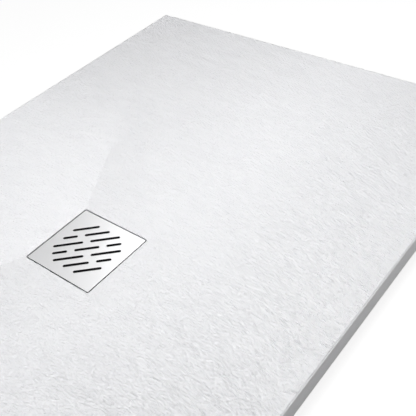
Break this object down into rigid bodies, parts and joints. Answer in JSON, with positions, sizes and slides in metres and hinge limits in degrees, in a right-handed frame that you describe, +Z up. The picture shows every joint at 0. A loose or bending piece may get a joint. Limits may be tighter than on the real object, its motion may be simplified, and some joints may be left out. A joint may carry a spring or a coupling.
{
  "type": "shower tray",
  "caption": "Low slate-textured stone-resin shower tray whose floor falls to a square slotted steel grate over a lift-out drain trap.",
  "frame": {"origin": "on the drain's axis, in the plane of the slab's underside, which beds on the floor", "axes": "+X across the tray, towards the long side that the picture shows; +Y along the tray; +Z up, out of the grate"},
  "size_m": [0.7, 1.2, 0.095],
  "materials": {
    "slate_resin": "matte",
    "stainless_plate": "satin",
    "stainless_screws": "satin",
    "brass": "satin",
    "black_rubber": "matte",
    "black_plastic": "matte",
    "trap_plastic": "satin",
    "nut_plastic": "satin",
    "ring_plastic": "satin"
  },
  "bodies": {
    "tray": {"tray_slab": "slate_resin", "clamping_flange": "black_plastic", "flange_screws": "stainless_screws", "screw_inserts": "brass", "upper_gasket": "black_rubber", "lower_gasket": "black_rubber", "trap_body": "trap_plastic", "outlet_nut": "nut_plastic", "outlet_seal": "black_rubber", "outlet_slip_ring": "ring_plastic"},
    "grate": {"grate_plate": "stainless_plate", "grate_stud_1": "stainless_plate", "grate_stud_2": "stainless_plate", "grate_stud_3": "stainless_plate", "grate_stud_4": "stainless_plate", "grate_foot_1": "black_rubber", "grate_foot_2": "black_rubber", "grate_foot_3": "black_rubber", "grate_foot_4": "black_rubber"},
    "strainer": {"hair_strainer": "black_plastic"},
    "dip": {"dip_tube": "black_plastic", "dip_tube_o_ring": "black_rubber"},
    "cup": {"siphon_cup": "black_plastic", "cup_o_ring": "black_rubber"}
  },
  "joints": [
    {"name": "grate_lift", "type": "slide", "parent": "tray", "child": "grate", "axis": [0, 0, 1], "range_m": [0, 0.3]},
    {"name": "strainer_lift", "type": "slide", "parent": "tray", "child": "strainer", "axis": [0, 0, 1], "range_m": [0, 0.255]},
    {"name": "dip_tube_lift", "type": "slide", "parent": "tray", "child": "dip", "axis": [0, 0, 1], "range_m": [0, 0.195]},
    {"name": "siphon_cup_lift", "type": "slide", "parent": "tray", "child": "cup", "axis": [0, 0, 1], "range_m": [0, 0.105]}
  ],
  "couplings": [
    {"joint": "strainer_lift", "follows": "grate_lift", "ratio": 0.85},
    {"joint": "dip_tube_lift", "follows": "grate_lift", "ratio": 0.65},
    {"joint": "siphon_cup_lift", "follows": "grate_lift", "ratio": 0.35}
  ]
}
